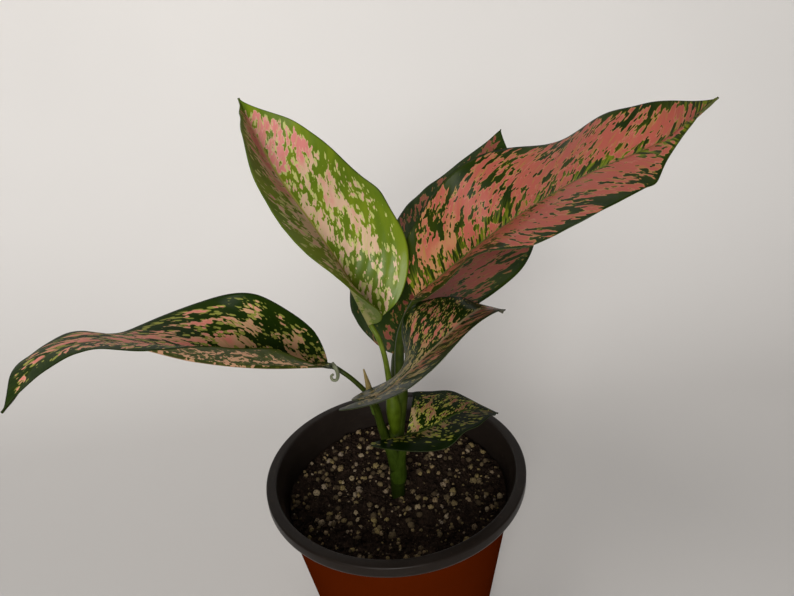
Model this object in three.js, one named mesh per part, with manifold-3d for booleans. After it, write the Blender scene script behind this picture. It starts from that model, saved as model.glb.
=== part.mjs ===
// A potted chinese evergreen: six spotted leaves on stalks that clasp one short
// cane, in a tapered nursery pot filled with grainy soil. Millimetres, +Z up, the
// origin at the centre of the pot's underside, and the front towards -Y.

import * as THREE from 'three';
import { mergeVertices } from 'three/addons/utils/BufferGeometryUtils.js';
import Module from 'manifold-3d';

const clearance = 0.3; // between neighbouring pieces
const turnSides = 48; // sides of the round pot and soil

// Pot.
const potHeight = 105;
const rimRadius = 60;
const potWall = 1.5;
const wallTaper = THREE.MathUtils.degToRad(9);
const lipHeight = 5.5;
const lipOverhang = 5.5; // the wall stands this far inside the lip's edge
const lipFace = 4.5; // width of the lip's flat top
const lipRound = 0.8;
const floorThickness = 2;
const floorRaise = 2; // the ring with the drain holes stands this far off the table
const centreFootRadius = 22;
const heelWidth = 2.5;
const drainHoles = 8;
const drainHoleRadius = 4;
const drainCircleRadius = 29;

// Soil.
const soilBelowRim = 15;
const soilSwell = 0.9; // height of the slow waves in its surface
const hollowDepth = 2.5; // dip around the cane
const hollowRadius = 9;
const grainCount = 70;
const grainSize = { min: 1.3, max: 2.1 };
const grainFieldRadius = 46;

// Cane, from its foot in the soil up to the young stalk, which goes on from its top.
const cane = {
  path: [[0, -3, 52], [0, -3, 86], [0.8, -3, 103], [1.2, -3.2, 116], [1.4, -3.4, 125]],
  radius: [3.2, 3.2, 3.7, 3.4, 2.6],
};

// Each leaf lies along a spine from its base to its tip. left and right are its
// halves, seen from the base with the upper side up: rise is the angle in degrees
// at which a half leaves the midrib above the level, and curl how far it bends
// back down towards its edge, both read from base to tip. lobe is how far the
// base's corner reaches back past the stalk. wave is the edge's ripple, as height,
// count and start. widest is where along the spine the leaf is widest, and
// baseWidth the share of that width left at its base.
const leaves = [
  {
    name: 'young',
    color: 0x86a232,
    halfWidth: 33,
    widest: 0.4,
    baseWidth: 0.12,
    spine: [[-4, 0, 179], [-13, 2, 202], [-24, 7, 222], [-38, 21, 243], [-52, 48, 268]],
    left: { rise: [50, 30, 40, 65, 65], curl: [12, 12, 10] },
    right: { rise: [95, 60, 20, 35, 55], curl: [5, 8, 5] },
    stalk: {
      path: [[1.4, -3.6, 125], [1.5, -4, 132], [1.6, -4, 139], [1.2, -3.6, 146], [0.6, -2.8, 153],
        [-0.2, -2.2, 163], [-2, -1.6, 172], [-4, 0, 179]],
      radius: [2.5, 3.2, 3.5, 2.8, 1.7, 1.3, 1.25, 1.2],
    },
  },
  {
    name: 'large',
    color: 0xb5685c,
    halfWidth: 34.5,
    widest: 0.45,
    baseWidth: 0.25,
    spine: [[14, 0, 189], [48, -6, 217], [75, -17, 237], [99, -25, 249], [107, -41, 264]],
    left: { rise: [60, 60, 30, 45, 85], curl: [2, 10, 10], wave: [4, 2.2, 0.35] },
    right: { rise: [20, 15, 0, -15, -30], curl: [10, 14, 10], wave: [2.5, 2.6, 0.5] },
    stalk: {
      path: [[3.4, -1.6, 129], [4.4, -1.2, 137], [5.4, -1, 145], [5.6, -0.6, 156], [6.6, 0, 168],
        [9.6, 0.2, 178], [14, 0, 189]],
      radius: [2.2, 3, 3.1, 2.3, 2.1, 1.9, 1.8],
    },
  },
  {
    name: 'back',
    color: 0x3d4a26,
    halfWidth: 47.5,
    widest: 0.33,
    baseWidth: 0.35,
    tipPower: 1.2,
    spine: [[4, 20, 152], [16, 33, 171], [38, 44, 203], [66, 70, 242]],
    left: { rise: [-25, 15, 5, 0, -5], curl: [10, 12, 10] },
    right: { rise: [40, 20, -2, -22, -25], curl: [7, 10, 7] },
    stalk: {
      path: [[2.2, 0.6, 126], [2.8, 2.6, 135], [3.4, 9, 145], [4, 20, 152]],
      radius: [2.4, 2.7, 2.3, 1.9],
    },
  },
  {
    name: 'left',
    color: 0x35422a,
    halfWidth: 30,
    widest: 0.36,
    baseWidth: 0.1,
    spine: [[-24, -5, 165], [-48, -17, 174], [-68, -31, 187], [-86, -48, 205], [-98, -64, 211],
      [-102, -86, 206]],
    left: { rise: [20, 40, 30, 10, 30], curl: [12, 12, 10] },
    right: { rise: [65, 65, 10, -5, -10], curl: [10, 10, 10] },
    hook: {
      path: [[-22, -10, 167.2], [-20.6, -11.8, 166], [-20, -12.4, 163], [-20.8, -12.6, 160.8],
        [-22.4, -12.6, 161], [-22.8, -12.4, 162.6], [-21.8, -12.2, 163.4]],
      radius: [0.9, 0.7, 0.6, 0.5],
    },
    stalk: {
      path: [[-2.2, -2.4, 117], [-4.2, -2.6, 127], [-6.2, -4, 138], [-8.2, -5.8, 146.5],
        [-12, -7, 153.5], [-17.5, -7, 160], [-24, -5, 165]],
      radius: [2, 1.9, 1.7, 1.5, 1.4, 1.3, 1.2],
    },
  },
  {
    name: 'front',
    color: 0x39452f,
    halfWidth: 22,
    widest: 0.5,
    baseWidth: 0.36,
    tipPower: 1.5,
    spine: [[-11, -32, 163], [0, -34, 168], [18, -30, 181], [35, -23, 191], [50, -9, 184]],
    left: { rise: [-15, -15, 20, 5, 30], curl: [10, 10, 10], lobe: 12, wave: [2, 3, 0] },
    right: { rise: [20, 29, 33, 24, -15], curl: [10, 10, 10], lobe: 3, wave: [1, 2, 0] },
    stalk: {
      path: [[-1.8, -5, 114], [-3.4, -5.4, 122], [-4.8, -6.6, 132], [-5.8, -9.6, 142],
        [-7.4, -16, 151], [-9.4, -25, 158.6], [-11, -32, 163]],
      radius: [2, 2, 1.9, 1.6, 1.4, 1.3, 1.2],
    },
  },
  {
    name: 'low',
    color: 0x33421f,
    halfWidth: 21.5,
    widest: 0.5,
    baseWidth: 0.45,
    spine: [[6, -8, 127], [14, -9, 129], [34, -3, 133], [49, 1, 127]],
    left: { rise: [60, 30, 5, 0, -5], curl: [10, 10, 10], lobe: -4 },
    right: { rise: [55, 15, 25, 25, 25], curl: [9, 9, 9], lobe: 15 },
    stalk: {
      path: [[1.8, -5.4, 106], [2.8, -6.2, 113], [4.4, -7.4, 120], [6, -8, 127]],
      radius: [2.4, 2.3, 1.8, 1.3],
    },
  },
];
const bladeThickness = 0.8;
const midribThickness = 2.2; // at the base, below the upper face
const bladeSteps = 20;
const bladeColumns = [0, 0.13, 0.32, 0.52, 0.72, 0.88, 1]; // across a half, from midrib to edge
const lobeShare = 0.3; // length of the base that a lobe draws back
const stalkSides = 10;
const stepLength = 5; // along a stalk

// Dry tip of an old sheath, beside the left leaf's stalk.
const sheathTip = {
  path: [[-6, -6.5, 139], [-7.6, -8.4, 149], [-8.4, -9.4, 156], [-9.4, -10, 163]],
  radius: [2.2, 1.8, 1.1, 0.35],
};

const wasm = await Module();
wasm.setup();

/** A smooth curve through points given as [x, y, z]. */
function curveThrough(points) {
  const corners = points.map((point) => new THREE.Vector3(...point));
  return new THREE.CatmullRomCurve3(corners, false, 'catmullrom', 0.5);
}

/** A list of values read smoothly at s, from its first at 0 to its last at 1. */
function readAlong(values, s) {
  return curveThrough(values.map((value) => [value, 0, 0])).getPoint(s).x;
}

/** A repeatable stream of numbers from 0 to 1. */
function seededRandom(seed) {
  let state = seed;
  return () => {
    state = (state * 1664525 + 1013904223) % 4294967296;
    return state / 4294967296;
  };
}

/** A geometry as a manifold solid, with its shared corners merged. */
function toSolid(geometry) {
  const bare = geometry.clone();
  bare.deleteAttribute('normal');
  bare.deleteAttribute('uv');
  const merged = mergeVertices(bare, 1e-3);
  const index = merged.index.array;
  const triVerts = [];
  for (let i = 0; i < index.length; i += 3) {
    const [a, b, c] = [index[i], index[i + 1], index[i + 2]];
    if (a !== b && b !== c && c !== a) {
      triVerts.push(a, b, c);
    }
  }
  const mesh = new wasm.Mesh({
    numProp: 3,
    vertProperties: new Float32Array(merged.attributes.position.array),
    triVerts: new Uint32Array(triVerts),
  });
  return new wasm.Manifold(mesh);
}

/** The largest body of a manifold solid, as a geometry. */
function toGeometry(solid) {
  const bodies = solid.decompose();
  bodies.sort((a, b) => b.volume() - a.volume());
  const mesh = bodies[0].getMesh();
  const geometry = new THREE.BufferGeometry();
  geometry.setAttribute('position', new THREE.BufferAttribute(mesh.vertProperties, 3));
  geometry.setIndex(new THREE.BufferAttribute(mesh.triVerts, 1));
  geometry.computeVertexNormals();
  return geometry;
}

/** A geometry from corner points and triangles of their numbers. */
function geometryOf(points, triangles) {
  const geometry = new THREE.BufferGeometry().setFromPoints(points);
  geometry.setIndex(triangles);
  return geometry;
}

/** A round, tapering rod along a path, closed at both ends, thicker by grow. */
function rod({ path, radius }, grow = 0) {
  const curve = curveThrough(path);
  const steps = Math.ceil(curve.getLength() / stepLength) + 2;
  const frames = curve.computeFrenetFrames(steps);
  const points = [];
  const triangles = [];
  for (let i = 0; i <= steps; i += 1) {
    const centre = curve.getPointAt(i / steps);
    const r = readAlong(radius, i / steps) + grow;
    for (let j = 0; j < stalkSides; j += 1) {
      const angle = (2 * Math.PI * j) / stalkSides;
      const point = centre.clone();
      point.addScaledVector(frames.normals[i], r * Math.cos(angle));
      point.addScaledVector(frames.binormals[i], r * Math.sin(angle));
      points.push(point);
    }
  }
  for (let i = 0; i < steps; i += 1) {
    for (let j = 0; j < stalkSides; j += 1) {
      const a = i * stalkSides + j;
      const b = i * stalkSides + ((j + 1) % stalkSides);
      triangles.push(a, b, b + stalkSides, a, b + stalkSides, a + stalkSides);
    }
  }
  const foot = points.push(curve.getPointAt(0)) - 1;
  const tip = points.push(curve.getPointAt(1)) - 1;
  const last = steps * stalkSides;
  for (let j = 0; j < stalkSides; j += 1) {
    const next = (j + 1) % stalkSides;
    triangles.push(foot, next, j, tip, last + j, last + next);
  }
  return toSolid(geometryOf(points, triangles));
}

/** A leaf's half width at s: an arc up to the widest place, then a drawn-out point. */
function halfWidthAt(leaf, s) {
  if (s < leaf.widest) {
    const toBase = 1 - s / leaf.widest;
    return leaf.halfWidth * (leaf.baseWidth + (1 - leaf.baseWidth) * (1 - toBase ** 2) ** 0.6);
  }
  const toTip = (s - leaf.widest) / (1 - leaf.widest);
  return leaf.halfWidth * (1 - toTip ** 2) ** (leaf.tipPower ?? 1.35);
}

/** A point of one half at s along the leaf and t across it, with its upward normal. */
function halfPoint(leaf, side, frame, s, t, grow) {
  const half = side < 0 ? leaf.left : leaf.right;
  const rise = THREE.MathUtils.degToRad(readAlong(half.rise, s));
  const curl = THREE.MathUtils.degToRad(readAlong(half.curl, s));
  const width = Math.max(halfWidthAt(leaf, s), bladeThickness) + grow;
  const end = rise - curl * t;
  const outward = (side * width * (Math.sin(rise) - Math.sin(end))) / curl;
  const upward = (width * (Math.cos(end) - Math.cos(rise))) / curl;
  const normal = frame.across.clone().multiplyScalar(-side * Math.sin(end));
  normal.addScaledVector(frame.up, Math.cos(end));
  const [height, count, start] = half.wave ?? [0, 0, 0];
  const ripple = height * Math.sin(2 * Math.PI * (count * s + start)) * Math.sqrt(Math.sin(Math.PI * s));
  const lobe = (half.lobe ?? 0) * Math.max(1 - s / lobeShare, 0) ** 2;
  const point = frame.centre.clone();
  point.addScaledVector(frame.across, outward);
  point.addScaledVector(frame.up, upward);
  point.addScaledVector(normal, ripple * t ** 2);
  point.addScaledVector(frame.along, -lobe * t);
  return { point, normal };
}

/** A leaf's blade: an upper and a lower sheet, joined around the edge. */
function blade(leaf, grow = 0) {
  const curve = curveThrough(leaf.spine);
  const half = bladeColumns.slice(1);
  const columns = [...half.toReversed().map((t) => -t), 0, ...half];
  const upper = [];
  const lower = [];
  for (let i = 0; i <= bladeSteps; i += 1) {
    const s = i / bladeSteps;
    const along = curve.getTangentAt(s);
    const across = along.clone().cross(new THREE.Vector3(0, 0, 1)).normalize();
    const up = across.clone().cross(along);
    const frame = { centre: curve.getPointAt(s), along, across, up };
    frame.centre.addScaledVector(along, (2 * s - 1) * grow);
    for (const t of columns) {
      const { point, normal } = halfPoint(leaf, t < 0 ? -1 : 1, frame, s, Math.abs(t), grow);
      let thickness = bladeThickness;
      if (t === 0) {
        const other = halfPoint(leaf, -1, frame, s, 0, grow).normal;
        normal.add(other).normalize();
        thickness = THREE.MathUtils.lerp(midribThickness, bladeThickness, s);
      }
      upper.push(point.clone().addScaledVector(normal, grow));
      lower.push(point.clone().addScaledVector(normal, -thickness - grow));
    }
  }
  return toSolid(sheetPair(upper, lower, columns.length));
}

/** Two grids of points, upper and lower, closed around their edge. */
function sheetPair(upper, lower, columnCount) {
  const rowCount = upper.length / columnCount;
  const below = upper.length;
  const triangles = [];
  for (let i = 0; i < rowCount - 1; i += 1) {
    for (let j = 0; j < columnCount - 1; j += 1) {
      const a = i * columnCount + j;
      const b = a + columnCount;
      triangles.push(a, b + 1, b, a, a + 1, b + 1);
      triangles.push(below + a, below + b, below + b + 1, below + a, below + b + 1, below + a + 1);
    }
  }
  const edge = [];
  for (let j = 0; j < columnCount - 1; j += 1) {
    edge.push(j);
  }
  for (let i = 0; i < rowCount - 1; i += 1) {
    edge.push(i * columnCount + columnCount - 1);
  }
  for (let j = columnCount - 1; j > 0; j -= 1) {
    edge.push((rowCount - 1) * columnCount + j);
  }
  for (let i = rowCount - 1; i > 0; i -= 1) {
    edge.push(i * columnCount);
  }
  edge.forEach((p, k) => {
    const q = edge[(k + 1) % edge.length];
    triangles.push(p, below + p, below + q, p, below + q, q);
  });
  return geometryOf([...upper, ...lower], triangles);
}

/** A solid of revolution about Z from [radius, height] points that start and end on the axis. */
function turned(profile) {
  const points = profile.map(([r, z]) => new THREE.Vector2(r, z));
  return new THREE.LatheGeometry(points, turnSides).rotateX(Math.PI / 2);
}

/** The pot wall's outer radius at a height, below the lip. */
function wallRadius(z) {
  return rimRadius - lipOverhang - (potHeight - lipHeight - z) * Math.tan(wallTaper);
}

/** The tapered pot with its flat-topped lip, raised floor ring and drain holes. */
function makePot() {
  const under = potHeight - lipHeight;
  const floorTop = floorRaise + floorThickness;
  const lipInner = rimRadius - lipFace;
  const heelOuter = wallRadius(0);
  const profile = [
    [0, 0],
    [centreFootRadius, 0],
    [centreFootRadius + floorRaise, floorRaise],
    [heelOuter - heelWidth - floorRaise, floorRaise],
    [heelOuter - heelWidth, 0],
    [heelOuter, 0],
    [wallRadius(under), under],
    [rimRadius - lipRound, under],
    [rimRadius, under + lipRound],
    [rimRadius, potHeight - lipRound],
    [rimRadius - lipRound, potHeight],
    [lipInner + lipRound, potHeight],
    [lipInner, potHeight - lipRound],
    [wallRadius(under) - potWall, under - 2],
    [wallRadius(floorTop) - potWall, floorTop],
    [0, floorTop],
  ];
  let pot = toSolid(turned(profile));
  for (let i = 0; i < drainHoles; i += 1) {
    const angle = (2 * Math.PI * i) / drainHoles;
    const drill = new THREE.CylinderGeometry(drainHoleRadius, drainHoleRadius, 3 * floorTop, 12);
    drill.rotateX(Math.PI / 2);
    drill.translate(drainCircleRadius * Math.cos(angle), drainCircleRadius * Math.sin(angle), 0);
    pot = pot.subtract(toSolid(drill));
  }
  return pot;
}

/** Height of the soil's surface at x, y. */
function soilHeight(x, y) {
  const waves = Math.sin(x * 0.13 + 1) * Math.cos(y * 0.11) + 0.5 * Math.sin(x * 0.31 - y * 0.27);
  const [caneX, caneY] = cane.path[1];
  const toCane = Math.hypot(x - caneX, y - caneY);
  const hollow = hollowDepth * Math.exp(-((toCane / hollowRadius) ** 2));
  return potHeight - soilBelowRim + soilSwell * waves - hollow;
}

/** The soil: a plug that fills the pot, with grains standing out of its top. */
function makeSoil() {
  const top = potHeight - soilBelowRim;
  const foot = floorRaise + floorThickness + clearance;
  const edgeRadius = wallRadius(top) - potWall - clearance;
  const profile = [[0, foot], [wallRadius(foot) - potWall - clearance, foot]];
  const ringCount = 8;
  for (let i = 0; i <= ringCount; i += 1) {
    profile.push([edgeRadius * (1 - i / ringCount), top]);
  }
  const plug = turned(profile);
  const position = plug.attributes.position;
  for (let i = 0; i < position.count; i += 1) {
    const [x, y] = [position.getX(i), position.getY(i)];
    const atEdge = Math.hypot(x, y) > edgeRadius - 1;
    if (position.getZ(i) > top - 1 && !atEdge) {
      position.setZ(i, soilHeight(x, y));
    }
  }
  const solids = [toSolid(plug)];
  const random = seededRandom(7);
  const [caneX, caneY] = cane.path[1];
  while (solids.length <= grainCount) {
    const size = THREE.MathUtils.lerp(grainSize.min, grainSize.max, random());
    const distance = grainFieldRadius * Math.sqrt(random());
    const angle = 2 * Math.PI * random();
    const [x, y] = [distance * Math.cos(angle), distance * Math.sin(angle)];
    const grain = new THREE.IcosahedronGeometry(size, 0);
    grain.scale(1, 0.8, 0.75).rotateX(2 * random()).rotateZ(6 * random());
    grain.translate(x, y, soilHeight(x, y));
    if (Math.hypot(x - caneX, y - caneY) > hollowRadius) {
      solids.push(toSolid(grain));
    }
  }
  return wasm.Manifold.union(solids).subtract(rod(cane, clearance));
}

const colors = {
  pot: { color: 0x8a4a30, roughness: 0.6 },
  soil: { color: 0x2e241d, roughness: 0.95 },
  cane: { color: 0x566b25, roughness: 0.5 },
  stalk: { color: 0x6f8a2c, roughness: 0.5 },
  sheath_tip: { color: 0xa89a55, roughness: 0.8 },
};
const group = new THREE.Group();

/** Adds a solid to the model as a named mesh with a material of its own. */
function addMesh(name, solid, finish) {
  const material = new THREE.MeshStandardMaterial({ metalness: 0, ...finish });
  const mesh = new THREE.Mesh(toGeometry(solid), material);
  mesh.name = name;
  group.add(mesh);
}

addMesh('pot', makePot(), colors.pot);
addMesh('soil', makeSoil(), colors.soil);
addMesh('cane', rod(cane), colors.cane);

// A stalk is trimmed to stand clear of the cane, the stalks inside it and the blades.
const neighbours = [rod(cane, clearance), ...leaves.map((leaf) => blade(leaf, clearance))];
const trim = (solid) => neighbours.reduce((rest, neighbour) => rest.subtract(neighbour), solid);
for (const leaf of leaves) {
  addMesh(`stalk_${leaf.name}`, trim(rod(leaf.stalk)), colors.stalk);
  neighbours.push(rod(leaf.stalk, clearance));
}
addMesh('sheath_tip', trim(rod(sheathTip)), colors.sheath_tip);

for (const leaf of leaves) {
  const whole = leaf.hook ? blade(leaf).add(rod(leaf.hook)) : blade(leaf);
  addMesh(`leaf_${leaf.name}`, whole, { color: leaf.color, roughness: 0.35 });
}

export default group;
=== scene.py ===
import math

import bpy
import numpy as np
from bpy.props import FloatProperty, FloatVectorProperty, IntProperty, PointerProperty
from mathutils import Matrix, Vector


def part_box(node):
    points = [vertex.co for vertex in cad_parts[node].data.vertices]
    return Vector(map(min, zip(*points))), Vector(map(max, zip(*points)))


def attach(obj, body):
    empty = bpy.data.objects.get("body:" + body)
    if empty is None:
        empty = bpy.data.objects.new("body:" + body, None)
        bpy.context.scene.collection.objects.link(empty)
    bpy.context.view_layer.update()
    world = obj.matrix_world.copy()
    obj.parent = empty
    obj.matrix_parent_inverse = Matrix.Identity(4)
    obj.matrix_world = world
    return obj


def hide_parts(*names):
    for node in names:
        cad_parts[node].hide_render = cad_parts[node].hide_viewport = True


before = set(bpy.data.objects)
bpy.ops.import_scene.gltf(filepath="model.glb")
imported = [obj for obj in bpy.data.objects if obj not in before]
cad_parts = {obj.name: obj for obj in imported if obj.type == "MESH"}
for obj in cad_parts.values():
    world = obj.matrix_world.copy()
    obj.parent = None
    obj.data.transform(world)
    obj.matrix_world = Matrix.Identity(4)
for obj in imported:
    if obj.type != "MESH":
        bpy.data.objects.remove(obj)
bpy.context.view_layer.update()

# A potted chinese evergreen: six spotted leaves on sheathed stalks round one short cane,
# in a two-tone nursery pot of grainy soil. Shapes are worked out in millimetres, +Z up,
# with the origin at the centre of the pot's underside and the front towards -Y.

bl_info = {
    "name": "Potted Chinese Evergreen",
    "version": (1, 0, 0),
    "blender": (4, 5, 0),
    "location": "View3D > Sidebar > Evergreen",
    "description": "Builds a chinese evergreen with spotted leaves in a nursery pot",
    "category": "Add Mesh",
}

MM = 0.001
UP = np.array([0.0, 0.0, 1.0])
FULL_TURN = 2 * math.pi
BODY = "root"
POT_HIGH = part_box("pot")[1]

# -------- the plant's own sizes

# Each leaf lies along a spine from its base to its tip. half_width is its widest half,
# widest the share of its length where that lies, base_width the share of it that is left at
# the base, tip_power how pointed the tip is, and round the depth of the base's rounded end.
# seed moves its noise, wax is the weight of its glossy coat, and slant how far the side
# veins run forward for each step outward, at the base and at the tip.
#
# left and right are its halves, seen from the base with the upper side up. Read from base
# to tip: rise is the angle in degrees at which a half leaves the midrib, curl how far it
# bends back down towards its edge, swell what is added to its width, and along how much it
# leans to pink above zero or to green below it. across is added to that, read from the
# midrib to the edge. spread is how finely the pattern repeats across the half, lobe how far
# the base's corner reaches back past the stalk, and wave the edge's ripple, as height,
# count and start. A half can have a slant of its own.
LEAVES = {
    "young": dict(
        half_width=33, widest=0.4, base_width=0.12, tip_power=1.35, round=5,
        seed=3, wax=0.25, slant=(0.8, 1.1),
        spine=[(-4, 0, 179), (-13, 2, 202), (-24, 7, 222), (-38, 21, 243), (-52, 48, 268)],
        left=dict(
            rise=(50, 30, 40, 65, 65), curl=(12, 12, 10), slant=(0, 0.2), spread=0.7,
            swell=(0, 0, 0, 0.3, 0.3, -0.3, -1.1, -0.9, -0.8, -0.3, 0),
            along=(-0.04, 0.02, 0.04, 0.08, 0.02), across=(0.1, 0.04, -0.1, -0.16, -0.3)),
        right=dict(
            rise=(95, 60, 20, 35, 55), curl=(5, 8, 5),
            swell=(0, 0.6, 0.4, -1.1, 0.5, 0.2, -1, -0.9, 0.3, -0.4, 0),
            along=(-0.16, -0.07, -0.04, -0.02, 0.1, 0.12), across=(-0.02, 0, 0.02, -0.1, -0.45)),
    ),
    "large": dict(
        half_width=34.5, widest=0.45, base_width=0.25, tip_power=1.35, round=7,
        seed=11, wax=0.3, slant=(0.15, 0.7),
        spine=[(14, 0, 189), (48, -6, 217), (75, -17, 237), (99, -25, 249), (107, -41, 264)],
        left=dict(
            rise=(60, 60, 30, 45, 85), curl=(2, 10, 10), wave=(4, 2.2, 0.35),
            swell=(0, 0, 0, 0.8, 1.9, 1.4, 1.8, 1.9, 1.3, 0.8, 0),
            along=(0.02, 0.07, 0.08, 0.12, 0), across=(-0.03, 0.03, 0.03, -0.01, -0.16)),
        right=dict(
            rise=(20, 15, 0, -15, -30), curl=(10, 14, 10), spread=0.8, wave=(2.5, 2.6, 0.5),
            swell=(0, 0, 0, 0, 0, 0, 0, 0, 0, -0.1, -0.3, 0.1, 0.5, 0.5, 0.5, 1.4, 3.7, -2.4,
                    -4.4, -1.7, 0),
            along=(0.03, 0.09, 0.12, 0.12, 0.08), across=(-0.03, 0.06, 0.07, 0, -0.25)),
    ),
    "back": dict(
        half_width=47.5, widest=0.33, base_width=0.35, tip_power=1.2, round=14,
        seed=23, wax=0.25, slant=(0.35, 0.8),
        spine=[(4, 20, 152), (16, 33, 171), (38, 44, 203), (66, 70, 242)],
        left=dict(
            rise=(-25, 15, 5, 0, -5), curl=(10, 12, 10),
            along=(-0.08, -0.06, -0.03, 0, -0.02), across=(0, -0.02, -0.06, -0.2)),
        right=dict(
            rise=(40, 20, -2, -22, -25), curl=(7, 10, 7),
            along=(0.06, 0.08, 0.05, 0, -0.08), across=(0, 0.05, 0.03, -0.12)),
    ),
    "left": dict(
        half_width=30, widest=0.36, base_width=0.1, tip_power=1.35, round=5,
        seed=31, wax=0.2, slant=(0.5, 0.9),
        spine=[(-24, -5, 165), (-48, -17, 174), (-68, -31, 187), (-86, -48, 205),
               (-98, -64, 211), (-102, -86, 206)],
        left=dict(
            rise=(20, 40, 30, 10, 30), curl=(12, 12, 10),
            swell=(0, 0, -3, -4, -3, -2, 2, 0.5, 0, 0.5, 0),
            along=(-0.06, -0.04, -0.04, 0, -0.06, -0.2), across=(-0.01, -0.03, -0.06, -0.2)),
        right=dict(
            rise=(65, 65, 10, -5, -10), curl=(10, 10, 10), wave=(1, 4.5, 0.2),
            along=(-0.12, -0.05, 0.01, 0.02, -0.04, -0.25), across=(0.04, 0.02, -0.04, -0.1, -0.25)),
    ),
    "front": dict(
        half_width=22, widest=0.5, base_width=0.36, tip_power=1.5, round=4,
        seed=47, wax=0.4, slant=(0.8, 1.2),
        spine=[(-11, -32, 163), (0, -34, 168), (18, -30, 181), (35, -23, 191), (50, -9, 184)],
        left=dict(
            rise=(-15, -15, 20, 5, 30), curl=(10, 10, 10), lobe=12, wave=(2, 3, 0),
            swell=(0, 0, 0, 0, -0.3, 0.8, 3, 0.6, -0.9, 0, 0),
            along=(-0.12, -0.06, -0.04, -0.05, -0.06), across=(0.03, -0.03, -0.06, -0.08, -0.12)),
        right=dict(
            rise=(30, 29, 33, 24, -15), curl=(10, 10, 10), slant=(0.2, 0.3), spread=0.5, lobe=9,
            wave=(1, 2, 0),
            swell=(0, 0, 0.4, 1.2, 1.1, 0.6, -0.9, -0.5, -2.8, -1.7, 0),
            along=(-0.14, -0.09, -0.04, -0.02, -0.04), across=(0.02, 0.02, -0.02, -0.2)),
    ),
    "low": dict(
        half_width=21.5, widest=0.5, base_width=0.45, tip_power=1.35, round=4,
        seed=59, wax=0.12, slant=(0.6, 0.9),
        spine=[(6, -8, 127), (14, -9, 129), (34, -3, 133), (49, 1, 127)],
        left=dict(
            rise=(60, 30, 5, 0, -5), curl=(10, 10, 10), lobe=-4,
            along=(0, -0.07, -0.15, -0.18), across=(-0.03, 0, -0.04, -0.2)),
        right=dict(
            rise=(38, 15, 25, 25, 25), curl=(9, 9, 9), slant=(0.2, 0.3), spread=0.6, lobe=23,
            wave=(0.8, 3.2, 0),
            swell=(0, -0.3, -0.8, -1.3, -1, -0.8, -0.8, -0.8, -0.8, -0.3, 0),
            along=(-0.16, -0.17, -0.18, -0.2), across=(0.02, 0, -0.03, -0.15)),
    ),
}
# The Variegation group's inputs, each with a value for every leaf in the order of LEAVES.
# Widths and the margin are in mm, Tip and Peach Below shares of the leaf's length.
PATTERNS = {
    "Blotch Width": (7, 7, 8, 5.5, 2.3, 2.8),
    "Stretch": (1.4, 2, 1.4, 1.5, 2, 1.9),
    "Ragged": (1.4, 1.6, 1.2, 1.1, 1, 1),
    "Specks": (0.95, 0.1, 0.3, 0.95, 0.85, 1),
    "Flecks": (0.22, 0.45, 0.3, 0.1, 0.2, 0.2),
    "Fans": (0, 1.2, 0.2, 0.2, 0.2, 0.1),
    "Mottle": (0.5, 0.1, 0.2, 0.15, 0.15, 0.15),
    "Margin": (5, 2.2, 4, 3.5, 1.5, 2.5),
    "Tip": (0.9, 0.93, 0.97, 0.95, 0.9, 0.9),
    "Peach Below": (0.55, 0.1, 0, 0.35, 0.45, 0.3),
    "Show Through": (0.12, 0.4, 0.3, 0.7, 0.4, 0.3),
    "Deep Green": ((0.095, 0.15, 0.009), (0.009, 0.02, 0.001), (0.011, 0.024, 0.003),
                   (0.011, 0.027, 0.002), (0.006, 0.016, 0.001), (0.004, 0.011, 0.0005)),
    "Bright Green": ((0.195, 0.25, 0.012), (0.13, 0.16, 0.008), (0.06, 0.09, 0.01),
                     (0.05, 0.08, 0.008), (0.022, 0.04, 0.008), (0.018, 0.034, 0.005)),
    "Halo": ((0.42, 0.43, 0.14), (0.26, 0.2, 0.03), (0.12, 0.12, 0.02),
             (0.3, 0.31, 0.06), (0.24, 0.21, 0.05), (0.24, 0.25, 0.04)),
    "Pink": ((0.58, 0.28, 0.235), (0.4, 0.13, 0.09), (0.24, 0.075, 0.045),
             (0.78, 0.31, 0.23), (0.36, 0.13, 0.09), (0.26, 0.11, 0.07)),
    "Rose": ((0.55, 0.19, 0.17), (0.36, 0.085, 0.06), (0.22, 0.055, 0.04),
             (0.74, 0.24, 0.19), (0.36, 0.1, 0.075), (0.22, 0.08, 0.05)),
    "Peach": ((0.56, 0.38, 0.26), (0.4, 0.19, 0.09), (0.24, 0.12, 0.06),
              (0.64, 0.36, 0.21), (0.28, 0.2, 0.09), (0.26, 0.17, 0.09)),
    "Midrib": ((0.3, 0.27, 0.06), (0.1, 0.12, 0.025), (0.06, 0.09, 0.015),
               (0.08, 0.1, 0.025), (0.22, 0.15, 0.08), (0.04, 0.06, 0.012)),
    "Back": ((0.1, 0.14, 0.015), (0.09, 0.1, 0.03), (0.08, 0.09, 0.03),
             (0.035, 0.045, 0.006), (0.06, 0.065, 0.03), (0.04, 0.05, 0.02)),
}

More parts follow.
